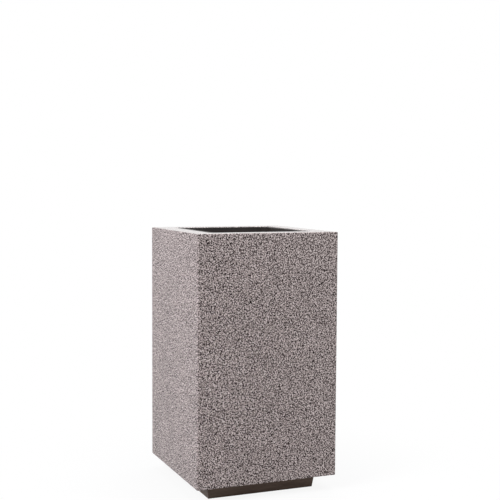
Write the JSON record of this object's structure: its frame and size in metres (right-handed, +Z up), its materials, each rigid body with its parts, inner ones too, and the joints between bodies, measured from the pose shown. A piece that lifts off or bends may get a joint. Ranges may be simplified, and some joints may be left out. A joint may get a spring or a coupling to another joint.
{
  "type": "planter box",
  "caption": "Tall square planter box with a granite-effect shell, recessed plinth, levelling feet and a lift-out liner with bails and drainage grate.",
  "frame": {"origin": "on the ground, under the middle of the box", "axes": "+Z up along the box's height, +X to the right and -Y to the front as the box is seen from its front"},
  "size_m": [0.45, 0.45, 0.795],
  "materials": {
    "granite_effect": "granite-effect speckled coat, semi-matt",
    "raw_laminate": "raw moulded laminate",
    "plinth_brown": "dark brown, satin",
    "liner_plastic": "dark moulded plastic, lightly textured",
    "fitting_plastic": "turned plastic, satin",
    "zinc_steel": "zinc-plated",
    "black_rubber": "matt rubber"
  },
  "bodies": {
    "planter": {"outer_shell": "granite_effect", "base_panel": "raw_laminate", "base_screws": "zinc_steel", "plinth": "plinth_brown", "plinth_screws": "zinc_steel", "plinth_washers": "zinc_steel", "foot_inserts": "zinc_steel", "foot_locknuts": "zinc_steel"},
    "liner": {"liner_pot": "liner_plastic", "drain_seal": "black_rubber", "drain_bush": "fitting_plastic", "drain_nut": "fitting_plastic", "handle_bracket_left": "zinc_steel", "handle_bracket_right": "zinc_steel", "bracket_rivets": "zinc_steel"},
    "stopper": {"drain_stopper": "black_rubber"},
    "handle_left": {"lift_handle_left": "zinc_steel"},
    "handle_right": {"lift_handle_right": "zinc_steel"},
    "grate": {"drainage_grate": "liner_plastic"},
    "foot_front_left": {"foot_stem_front_left": "zinc_steel", "foot_pad_front_left": "black_rubber"},
    "foot_front_right": {"foot_stem_front_right": "zinc_steel", "foot_pad_front_right": "black_rubber"},
    "foot_rear_left": {"foot_stem_rear_left": "zinc_steel", "foot_pad_rear_left": "black_rubber"},
    "foot_rear_right": {"foot_stem_rear_right": "zinc_steel", "foot_pad_rear_right": "black_rubber"}
  },
  "joints": [
    {"name": "liner_lift", "type": "slide", "parent": "planter", "child": "liner", "axis": [0, 0, 1], "range_m": [0, 0.42]},
    {"name": "grate_lift", "type": "slide", "parent": "liner", "child": "grate", "axis": [0, 0, 1], "range_m": [0, 0.4]},
    {"name": "stopper_pull", "type": "slide", "parent": "liner", "child": "stopper", "axis": [0, 0, 1], "range_m": [0, 0.016]},
    {"name": "handle_left_swing", "type": "hinge", "parent": "liner", "child": "handle_left", "pos_m": [-0.13818, 0, 0.76621], "axis": [0, -1, 0], "range_deg": [0, 165]},
    {"name": "handle_right_swing", "type": "hinge", "parent": "liner", "child": "handle_right", "pos_m": [0.13818, 0, 0.76621], "axis": [0, 1, 0], "range_deg": [0, 165]},
    {"name": "foot_front_left_screw", "type": "slide", "parent": "planter", "child": "foot_front_left", "axis": [0, 0, -1], "range_m": [0, 0.015]},
    {"name": "foot_front_right_screw", "type": "slide", "parent": "planter", "child": "foot_front_right", "axis": [0, 0, -1], "range_m": [0, 0.015]},
    {"name": "foot_rear_left_screw", "type": "slide", "parent": "planter", "child": "foot_rear_left", "axis": [0, 0, -1], "range_m": [0, 0.015]},
    {"name": "foot_rear_right_screw", "type": "slide", "parent": "planter", "child": "foot_rear_right", "axis": [0, 0, -1], "range_m": [0, 0.015]}
  ]
}
